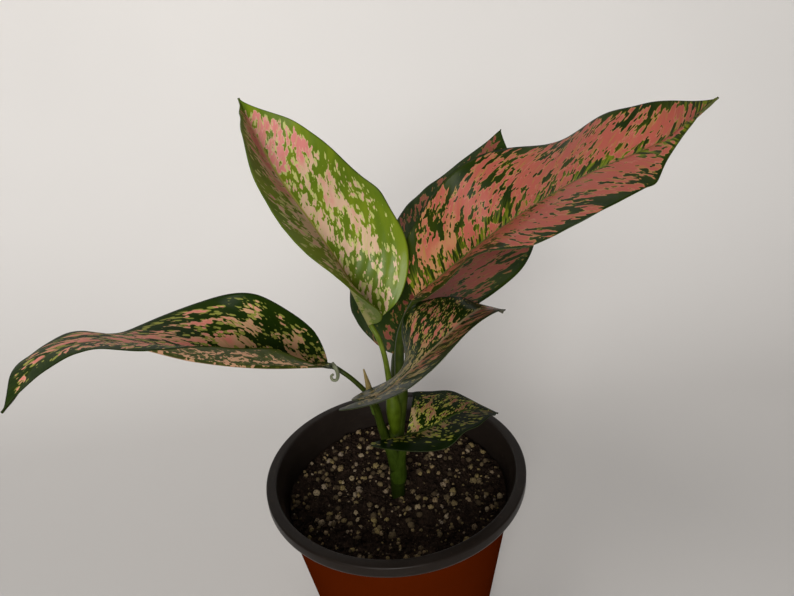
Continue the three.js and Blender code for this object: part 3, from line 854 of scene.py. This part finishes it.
def grain_finish():
    """Pale grains of pumice and perlite, each with a tone of its own and dirt in its pores."""
    material, graph = new_material("grains", specular_ior_level=0.1)
    pores = graph.noise(graph.place(), 1500.0, 3.0, 0.6)
    dirt = graph.step(pores, 0.5, 0.66)
    base = graph.mix(dirt, graph.ramp(graph.attribute("tone"), GRAIN_TONES), GRAIN_DIRT)
    return finished(material, graph, base, graph.onto(0.75, pores, 0.2), pores, 0.5, 0.3)


def backdrop_finish(color):
    """Pale paper with a faint cloud, and painted shade that makes it darker in front than behind."""
    material, graph = new_material("backdrop", roughness=0.9, specular_ior_level=0.1)
    place = graph.place()
    shade = graph.mix(graph.step(graph.noise(place, 3.0), 0.3, 0.7), tinted(color, 0.97), tuple(color))
    # Painted shade: the paper darkens towards the front, down to 0.72 of its colour.
    shade = graph.mix(graph.step(graph.separate(place)[1], 0.0, 0.5), tinted(color, 0.72), shade)
    graph.feed(material.node_tree.nodes["Principled BSDF"].inputs["Base Color"], shade)
    return material


# -------- leaves

def half_width_at(leaf, s):
    """An arc from the base's width up to the widest place, then a drawn-out point."""
    to_base = np.clip(1 - s / leaf["widest"], 0, 1)
    to_tip = np.clip((s - leaf["widest"]) / (1 - leaf["widest"]), 0, 1)
    rising = leaf["base_width"] + (1 - leaf["base_width"]) * (1 - to_base**2) ** BASE_ARC
    falling = (1 - to_tip**2) ** leaf["tip_power"]
    return np.maximum(leaf["half_width"] * np.where(s < leaf["widest"], rising, falling), NARROWEST)


def half_section(rise, curl, width, tau):
    """Outward and upward reach at tau across a half: the sums of the cosine and sine of its
    slope in slices that crowd towards the midrib. The slope grows from level to rise within
    a few millimetres and loses curl towards the edge. Also the slope at tau itself."""
    x = (np.arange(FOLD_SLICES) + 0.5) / FOLD_SLICES
    part = tau[:, None] * x**2
    weight = 2 * x / FOLD_SLICES * (width * tau)[:, None]
    fold = np.minimum(FOLD, NARROW_FOLD[0] + NARROW_FOLD[1] * width)
    bend = 1 - np.exp(-(width / fold)[:, None] * part)
    slope = rise[:, None] * bend - curl[:, None] * part
    end = rise * (1 - np.exp(-width * tau / fold)) - curl * tau
    return np.sum(weight * np.cos(slope), axis=1), np.sum(weight * np.sin(slope), axis=1), end


def blade_sheets(leaf, foliage):
    """The upper and lower faces of a blade, and the maps its pattern reads.

    Rows run along the spine and columns across it. A point lies at the spine's place, plus
    its half's section in the plane across the spine, plus the edge's wave along the normal,
    minus the lobe along the spine. On that lie the midrib's channel, the side veins, which
    leave the midrib at the leaf's slant and bend towards the tip, and a faint quilting."""
    rows = np.linspace(0, 1, BLADE_ROWS + 1)[:, None]
    x = np.linspace(-1, 1, 2 * HALF_COLUMNS + 1)
    t = (np.sign(x) * np.abs(x) ** COLUMN_CROWDING)[None, :]
    length = follow(leaf["spine"], np.zeros(1))[2]
    start = leaf["round"] / length * (1 - np.sqrt(1 - np.abs(t) ** BASE_ROUNDING))
    s = (start + (1 - start) * rows).ravel()
    t = np.broadcast_to(t, (BLADE_ROWS + 1, t.shape[1])).ravel()
    side = np.where(t < 0, -1.0, 1.0)
    tau = np.abs(t)

    def of_half(key, default=None, at=s):
        """A key of each half, read at a share, or the default where the half doesn't have it."""
        left, right = (read_along(leaf[half].get(key, default), at) for half in ("left", "right"))
        return np.where(side < 0, left, right)

    def constant(key, default, place=None):
        """A key of each half that is one number, or the number at a place of it."""
        given = (leaf[half].get(key, default) for half in ("left", "right"))
        left, right = (value if place is None else value[place] for value in given)
        return np.where(side < 0, left, right)

    centre = follow(leaf["spine"], s)[0]
    forward = unit(sum(follow(leaf["spine"], np.clip(s + step, 0, 1))[1] for step in SPINE_SMOOTHING))
    across = unit(np.cross(forward, UP))
    upward = np.cross(across, forward)
    width = np.maximum(half_width_at(leaf, s) + of_half("swell", (0, 0)), NARROWEST)
    out, lift, slope = half_section(np.radians(of_half("rise")), np.radians(of_half("curl")), width, tau)
    normal = -(side * np.sin(slope))[:, None] * across + np.cos(slope)[:, None] * upward

    height, count, begin = (constant("wave", (0, 0, 0), place) for place in range(3))
    ripple = height * np.sin(FULL_TURN * (count * s + begin)) * np.sqrt(np.sin(math.pi * np.clip(s, 0, 1)))
    lobe = constant("lobe", 0) * np.maximum(1 - s / LOBE_SHARE, 0) ** 2
    lean = of_half("along") + of_half("across", at=tau)
    distance = width * tau
    edge = width * (1 - tau)
    slant = of_half("slant", leaf["slant"])
    vein_map = s * length - (slant * distance + VEIN_BEND * distance**2 / leaf["half_width"])
    spacing = foliage.vein_spacing / MM
    off_vein = np.abs(vein_map - spacing * np.round(vein_map / spacing))
    shown = ease(distance, 0.5, 4) * ease(edge, 0.5, 5)
    vein = np.exp(-((off_vein / VEIN_WIDTH) ** 2)) * shown
    quilt = np.cos(FULL_TURN * off_vein / spacing) * shown
    channel = CHANNEL_DEPTH * np.exp(-((distance / CHANNEL_WIDTH) ** 2)) * (1 - CHANNEL_FADE * s)
    depth = foliage.vein_depth / MM
    cockle = COCKLING * waves(s * length, side * distance, leaf["seed"], *COCKLE_WAVES)
    relief = (ripple + cockle) * tau**2 - depth * (vein + QUILTING * quilt) - channel

    point = centre + (side * out)[:, None] * across + lift[:, None] * upward
    point = point - (lobe * tau)[:, None] * forward + relief[:, None] * normal
    rib_width = RIB_WIDTH[0] - RIB_WIDTH[1] * s
    rib = foliage.midrib / MM * (1 - RIB_FADE * s) * np.exp(-((distance / rib_width) ** 2))
    thickness = foliage.blade / MM * (0.55 + 0.45 * ease(edge, 0, 1.5)) + rib + 0.8 * depth * vein
    lower = point - thickness[:, None] * normal

    sweep = np.hypot(1, slant + VEIN_BEND)
    around = side * distance * sweep * constant("spread", 1)
    layers = {
        "leaf_map": np.stack([vein_map / sweep, around, np.full_like(s, leaf["seed"])], -1),
        "leaf_zone": np.stack([edge, distance, s], -1),
        "leaf_lean": lean,
    }
    layers = {label: np.concatenate([values, values]) for label, values in layers.items()}
    layers["under"] = np.repeat([0.0, 1.0], len(s))
    uv = np.stack([0.5 + 0.5 * t, s], -1)
    return np.concatenate([point, lower]), layers, np.concatenate([uv, uv])


class EVERGREEN_OT_leaves(bpy.types.Operator):
    """Six spotted blades, each from its own spine, halves and pattern values"""

    bl_idname = "evergreen.leaves"
    bl_label = "Leaves"

    def execute(self, context):
        foliage = context.scene.evergreen.foliage
        variegation = variegation_group()
        faces = [sheet_faces(BLADE_ROWS + 1, 2 * HALF_COLUMNS + 1)]
        for name, leaf in LEAVES.items():
            points, layers, uv = blade_sheets(leaf, foliage)
            finish = leaf_finish(name, variegation, foliage.roughness)
            piece = new_piece(f"blade_{name}", points, faces, [finish], f"leaf_{name}", layers=layers, uv=uv)
            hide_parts(f"leaf_{name}")
        return {"FINISHED"}


# -------- stalks and cane

def add_rod(name, shape, outward, section, finish, slot):
    """A closed rod along a path. At u along it and angle v around it a point lies at the
    path's place plus the radius there, times section(u, v), in the direction v. v is 0 on
    the side that faces outward."""
    rows, columns = shape["grid"]
    u = np.linspace(0, 1, rows)
    centre, forward, radius = follow(shape["path"], u, shape["radius"])
    length = np.sum(np.linalg.norm(np.diff(centre, axis=0), axis=1))
    outward = np.asarray(outward, float)
    front = unit(outward - np.sum(outward * forward, axis=1, keepdims=True) * forward)
    aside = np.cross(forward, front)
    v = np.arange(columns) / columns
    radius = radius[:, None] * section(u[:, None], FULL_TURN * v[None, :])
    around = (np.cos(FULL_TURN * v)[None, :, None] * front[:, None]
              + np.sin(FULL_TURN * v)[None, :, None] * aside[:, None])
    points, faces = closed_tube(centre[:, None] + radius[..., None] * around, [centre[0], centre[-1]])
    uv = np.stack(np.broadcast_arrays(v[None, :], u[:, None] * length / UV_LENGTH), -1).reshape(-1, 2)
    uv = np.concatenate([uv, [[0.5, 0.0], [0.5, length / UV_LENGTH]]])
    return new_piece(name, points, faces, [finish], slot, uv=uv)


def even_section(u, v):
    """Round all the way."""
    return np.ones_like(u)


def stalk_section(u, v):
    """Round, with a channel down the inner side and a few shallow flutes."""
    inner = np.cos((v - math.pi) / 2) ** 8
    return 1 - 0.16 * inner * (0.3 + 0.7 * u) + 0.012 * np.cos(9 * v + 2 * u)


def ringed_section(u, v):
    """Nearly round, with a low ring wherever an old leaf stood."""
    return 1 + 0.03 * np.exp(-(((u * 7.3) % 1 - 0.5) / 0.06) ** 2) + 0.01 * np.cos(7 * v)


def to_midrib(name):
    """A stalk's path and radii up to its leaf. At the base it lies its own radius below the
    spine, and then it thins out under the midrib, half as far below."""
    shape = STALKS[name]
    base, forward, _ = follow(LEAVES[name]["spine"], np.array([0.0, RUN_ON]))
    upward = np.cross(unit(np.cross(forward, UP)), forward)
    radius = shape["radius"]
    below = base - upward * (np.array([[1.0], [0.5]]) * radius[-1])
    radius = (*radius, RUN_ON_THINNING * radius[-1])
    return {"grid": STALK_GRID, "path": [*shape["path"], *below], "radius": radius}


class EVERGREEN_OT_stalks(bpy.types.Operator):
    """Six leaf stalks, each widening at its foot into the sheath that clasps the cane"""

    bl_idname = "evergreen.stalks"
    bl_label = "Stalks"

    def execute(self, context):
        foliage = context.scene.evergreen.foliage
        finishes = {
            "stalk_young": stem_finish("stalk_young", foliage.young_stalk_color),
            "stalk_green": stem_finish("stalk_green", foliage.stalk_color),
        }
        for name in STALKS:
            outward = np.array(LEAVES[name]["spine"][-1]) * (1, 1, 0)
            slot = "stalk_young" if name == "young" else "stalk_green"
            piece = add_rod(
                f"petiole_{name}", to_midrib(name), outward, stalk_section, finishes[slot], slot)
            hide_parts(f"stalk_{name}")
        return {"FINISHED"}


class EVERGREEN_OT_cane(bpy.types.Operator):
    """The short green cane, an old sheath's dry tip beside it, and the left leaf's curled lobe"""

    bl_idname = "evergreen.cane"
    bl_label = "Cane"

    def execute(self, context):
        foliage = context.scene.evergreen.foliage
        front, left = (0, -1, 0), (-1, 0, 0)
        skin = stem_finish("cane", foliage.cane_color)
        piece = add_rod("stem_cane", CANE, front, ringed_section, skin, "cane")
        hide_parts("cane")
        skin = stem_finish("lobe_curl", HOOK_COLOR)
        add_rod("lobe_curl", HOOK, front, even_section, skin, "leaf_left")
        skin = stem_finish("dry_sheath", foliage.dry_color)
        piece = add_rod("dry_sheath_tip", SHEATH_TIP, left, stalk_section, skin, "dry_sheath")
        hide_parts("sheath_tip")
        return {"FINISHED"}


# -------- soil

def soil_level(soil, pot):
    return (pot.height - soil.below_rim) / MM


def soil_height(soil, pot, x, y):
    """Slow waves and fine roughness round the soil's level, with a dip at the cane."""
    slow = np.sin(x * 0.13 + 1) * np.cos(y * 0.11) + 0.5 * np.sin(x * 0.31 - y * 0.27)
    cane_x, cane_y, _ = CANE["path"][1]
    depth, width = CANE_DIP
    dip = depth * np.exp(-((np.hypot(x - cane_x, y - cane_y) / width) ** 2))
    return soil_level(soil, pot) + soil.swell / MM * slow - dip + SOIL_ROUGHNESS * waves(x, y, *SOIL_WAVES)


def wall_radius(pot, z):
    """Outer radius of the pot's wall at height z, in millimetres."""
    under = (pot.height - pot.lip_height) / MM
    return (pot.rim_radius - pot.lip_overhang) / MM - (under - z) * math.tan(pot.taper)


def crumb_template():
    """Twelve corners and twenty faces of an icosahedron of radius 1. Its corners are those of
    three golden rectangles."""
    g = 1.618
    corners = np.array([(-1, g, 0), (1, g, 0), (-1, -g, 0), (1, -g, 0), (0, -1, g), (0, 1, g),
                        (0, -1, -g), (0, 1, -g), (g, 0, -1), (g, 0, 1), (-g, 0, -1), (-g, 0, 1)], float)
    faces = np.array([(0, 11, 5), (0, 5, 1), (0, 1, 7), (0, 7, 10), (0, 10, 11), (1, 5, 9), (5, 11, 4),
                      (11, 10, 2), (10, 7, 6), (7, 1, 8), (3, 9, 4), (3, 4, 2), (3, 2, 6), (3, 6, 8),
                      (3, 8, 9), (4, 9, 5), (2, 4, 11), (6, 2, 10), (8, 6, 7), (9, 8, 1)])
    return unit(corners), faces


def scatter(centres, sizes, flatness, random):
    """Copies of the crumb template, each stretched, dented and turned by a drawn quaternion
    with parts w and q: a corner c goes to c + 2 w (q x c) + 2 q x (q x c)."""
    corners, faces = crumb_template()
    count = len(centres)
    turn = unit(random.normal(size=(count, 1, 4)))
    dent = 1 + DENTS * random.uniform(-1, 1, size=(count, len(corners), 1))
    stretch = random.uniform(flatness, 1, size=(count, 1, 3))
    local = corners * dent * stretch * sizes[:, None, None]
    swing = 2 * np.cross(turn[..., 1:], local)
    points = local + turn[..., :1] * swing + np.cross(turn[..., 1:], swing) + centres[:, None]
    index = faces + (np.arange(count) * len(corners))[:, None, None]
    return points.reshape(-1, 3), [index.reshape(-1, 3)]


class EVERGREEN_OT_soil(bpy.types.Operator):
    """The soil's body, its dark crumbs and its pale grains"""

    bl_idname = "evergreen.soil"
    bl_label = "Soil"

    def execute(self, context):
        soil, pot = context.scene.evergreen.soil, context.scene.evergreen.pot
        level = soil_level(soil, pot)
        wall = pot.wall / MM
        edge = wall_radius(pot, level) - wall - SOIL_GAPS[0]
        foot_radius = wall_radius(pot, SOIL_FOOT) - wall - SOIL_GAPS[1]
        surface = [(radius, level) for radius in np.linspace(edge, 0, SOIL_RINGS)]
        points, faces = turned([(0, SOIL_FOOT), (foot_radius, SOIL_FOOT), *surface], SOIL_SIDES)
        x, y, z = points.T
        points[:, 2] = np.where(z > level - 1, soil_height(soil, pot, x, y), z)
        finish = soil_finish(soil.color)
        piece = new_piece("soil_body", points, faces, [finish], "soil")
        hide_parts("soil")

        random = np.random.default_rng(SCATTER_SEED)
        for name, count, (small, large, flatness), material in (
                ("soil_crumbs", soil.crumbs, CRUMB_SIZES, finish),
                ("soil_grains", soil.grains, GRAIN_SIZES, grain_finish())):
            distance = (edge - EDGE_GAP) * np.sqrt(random.random(count))
            angle = FULL_TURN * random.random(count)
            x, y = distance * np.cos(angle), distance * np.sin(angle)
            size = small + (large - small) * random.random(count) ** SIZE_POWER
            z = soil_height(soil, pot, x, y) + LIFT * size
            points, faces = scatter(np.stack([x, y, z], -1), size, flatness, random)
            tone = np.repeat(random.random(count), len(points) // max(count, 1))
            new_piece(name, points, faces, [material], "soil", layers={"tone": tone},
                      smooth=name == "soil_grains")
        return {"FINISHED"}


# -------- pot

def softened(corners, steps=5):
    """A profile from (radius, height, softness) corners: a soft corner becomes a parabola
    that starts and ends at its softness from the corner, the rest stay sharp."""
    corners = np.asarray(corners, float)
    profile = []
    for k, (radius, height, soft) in enumerate(corners):
        here = np.array([radius, height])
        if soft == 0:
            profile.append(here)
            continue
        back = here + soft * unit(corners[k - 1, :2] - here)
        ahead = here + soft * unit(corners[k + 1, :2] - here)
        for f in np.linspace(0, 1, steps):
            profile.append((1 - f) ** 2 * back + 2 * f * (1 - f) * here + f * f * ahead)
    return np.array(profile)


def pot_profile(pot):
    """From the axis out along the underside, up the wall, over the lip and down inside."""
    height, rim = pot.height / MM, pot.rim_radius / MM
    under = height - pot.lip_height / MM
    wall = pot.wall / MM
    heel = wall_radius(pot, 0)
    return softened([
        (0, 0, 0), (CENTRE_FOOT, 0, 0.4), (CENTRE_FOOT + FLOOR_SLOPE, FLOOR_RAISE, 0.4),
        (heel - HEEL_WIDTH - FLOOR_SLOPE, FLOOR_RAISE, 0.4), (heel - HEEL_WIDTH, 0, 0.4),
        (heel, 0, 0.9), (wall_radius(pot, under), under, 0.35), (rim - LIP_SLOPE, under, 0.45),
        (rim, under + LIP_EDGE, 0.5), (rim, height, 0.9), (rim - LIP_FACE, height, 0.9),
        (wall_radius(pot, under) - wall, under - 2, 1.2),
        (wall_radius(pot, FLOOR_TOP) - wall, FLOOR_TOP, 1.0), (0, FLOOR_TOP, 0),
    ])


def drill_holes(piece):
    """Round drain holes in the floor's raised ring, cut by one Boolean."""
    low, high = DRILL_REACH
    drills = []
    faces = []
    for k in range(DRAIN_HOLES):
        angle = FULL_TURN * k / DRAIN_HOLES
        drill, parts = turned([(0, low), (DRAIN_RADIUS, low), (DRAIN_RADIUS, high), (0, high)], DRAIN_SIDES)
        drills.append(drill + (DRAIN_CIRCLE * math.cos(angle), DRAIN_CIRCLE * math.sin(angle), 0))
        faces += [part + k * len(drill) for part in parts]
    cutter = new_object("drills", np.concatenate(drills), faces, [], smooth=False)
    cut = piece.modifiers.new("Drain holes", "BOOLEAN")
    cut.operation = "DIFFERENCE"
    cut.object = cutter
    bpy.context.view_layer.objects.active = piece
    piece.select_set(True)
    bpy.ops.object.modifier_apply(modifier=cut.name)
    bpy.data.objects.remove(cutter)


class EVERGREEN_OT_pot(bpy.types.Operator):
    """The thin two-layer nursery pot with its flat lip, raised floor ring and drain holes"""

    bl_idname = "evergreen.pot"
    bl_label = "Pot"

    def execute(self, context):
        pot = context.scene.evergreen.pot
        scuffs = scuff_group()
        finishes = [
            plastic_finish("pot_outside", scuffs, pot.outside_color, 0.2, 0.4, 0.0),
            plastic_finish("pot_inside", scuffs, pot.inside_color, 0.8, 0.3, 0.1),
        ]
        profile = pot_profile(pot)
        points, faces = turned(profile, POT_SIDES)
        piece = new_piece("nursery_pot", points, faces, finishes, "pot")
        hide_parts("pot")
        # The lip and the inner layer take the second finish, and so does the inner floor's fan.
        lip_start = int(np.argmax(profile[:, 1] > (pot.height - pot.lip_height) / MM + 0.02))
        inner = np.arange(len(profile) - 3) + 1 >= lip_start
        index = np.repeat([*inner, False, True], POT_SIDES)
        piece.data.polygons.foreach_set("material_index", index.astype(np.int32))
        drill_holes(piece)
        return {"FINISHED"}


# -------- stage

def stand(data, right, up, back, place):
    """A light or a camera at a place in metres, looking against back."""
    axes = np.eye(4)
    axes[:3] = np.stack([right, up, back, place], -1)
    standing = bpy.data.objects.new(data.name, data)
    standing.matrix_world = Matrix(axes.tolist())
    bpy.context.scene.collection.objects.link(standing)
    return standing


def place_camera(scene):
    """The camera's axes from its pitch down, yaw to the right and roll."""
    pitch, yaw, roll = (math.radians(CAMERA[key]) for key in ("pitch", "yaw", "roll"))
    forward = np.array([math.sin(yaw) * math.cos(pitch), math.cos(yaw) * math.cos(pitch), -math.sin(pitch)])
    level = np.array([math.cos(yaw), -math.sin(yaw), 0.0])
    upright = np.cross(level, forward)
    right = math.cos(roll) * level - math.sin(roll) * upright
    up = math.sin(roll) * level + math.cos(roll) * upright
    data = bpy.data.cameras.new("camera")
    data.sensor_width = CAMERA["sensor"]
    data.lens = CAMERA["sensor"] * CAMERA["focal_pixels"] / CAMERA["frame_width"]
    data.clip_start = 0.01
    scene.camera = stand(data, right, up, -forward, np.array(CAMERA["place"]) * MM)


def add_light(name, power):
    """A square area light that faces its target."""
    place, target, size, color = LIGHTS[name]
    data = bpy.data.lights.new(name, "AREA")
    data.shape = "RECTANGLE"
    data.size = data.size_y = size
    data.energy = power
    data.color = color
    back = unit(np.subtract(place, target))
    right = unit(np.cross(UP, back))
    stand(data, right, np.cross(back, right), back, place)


def add_backdrop(color):
    """One sheet: flat, then a quarter circle up, then upright, in millimetres."""
    start, radius, reach, height = 180.0, 420.0, 6000.0, 2200.0
    bend = np.radians(np.linspace(0, 90, 40))
    y = np.concatenate([[-reach], start + radius * np.sin(bend), [start + radius]])[:, None]
    z = np.concatenate([[0.0], radius * (1 - np.cos(bend)), [height]])[:, None]
    points = np.stack(np.broadcast_arrays([[-reach, reach]], y, z), -1).reshape(-1, 3)
    backdrop = new_object("backdrop", points, [grid_faces(len(y), 2)], [backdrop_finish(color)])


class EVERGREEN_OT_stage(bpy.types.Operator):
    """The camera, a pale floor that curves up behind, one large soft light, a small one and a fill"""

    bl_idname = "evergreen.stage"
    bl_label = "Stage"

    def execute(self, context):
        scene = context.scene
        stage = scene.evergreen.stage
        place_camera(scene)
        add_backdrop(stage.backdrop_color)
        add_light("key", stage.key_power)
        add_light("ceiling", stage.ceiling_power)
        world = bpy.data.worlds.new("fill")
        world.use_nodes = True
        sky = world.node_tree.nodes["Background"].inputs
        sky["Color"].default_value = (*SKY, 1.0)
        sky["Strength"].default_value = stage.fill
        scene.world = world
        scene.view_settings.view_transform = "Standard"
        return {"FINISHED"}


# -------- panel and registration

class VIEW3D_PT_evergreen(bpy.types.Panel):
    """Lists the steps and the sizes and colours that they read"""

    bl_label = "Evergreen"
    bl_idname = "VIEW3D_PT_evergreen"
    bl_space_type = "VIEW_3D"
    bl_region_type = "UI"
    bl_category = "Evergreen"

    def draw(self, context):
        settings = context.scene.evergreen
        for group, operators in (
                (settings.stage, ("stage",)), (settings.pot, ("pot",)), (settings.soil, ("soil",)),
                (settings.foliage, ("cane", "stalks", "leaves"))):
            box = self.layout.box()
            for key in group.__annotations__:
                box.prop(group, key)
            for name in operators:
                box.operator(f"evergreen.{name}")


CLASSES = (
    PotSettings, SoilSettings, FoliageSettings, StageSettings, EvergreenSettings, EVERGREEN_OT_stage,
    EVERGREEN_OT_pot, EVERGREEN_OT_soil, EVERGREEN_OT_cane, EVERGREEN_OT_stalks, EVERGREEN_OT_leaves,
    VIEW3D_PT_evergreen,
)


def register():
    for cls in CLASSES:
        bpy.utils.register_class(cls)
    bpy.types.Scene.evergreen = PointerProperty(type=EvergreenSettings)


def unregister():
    del bpy.types.Scene.evergreen
    for cls in reversed(CLASSES):
        bpy.utils.unregister_class(cls)


def main():
    """Builds the stage and every piece."""
    register()
    bpy.ops.evergreen.stage()
    bpy.ops.evergreen.pot()
    bpy.ops.evergreen.soil()
    bpy.ops.evergreen.cane()
    bpy.ops.evergreen.stalks()
    bpy.ops.evergreen.leaves()


if __name__ == "__main__":
    main()
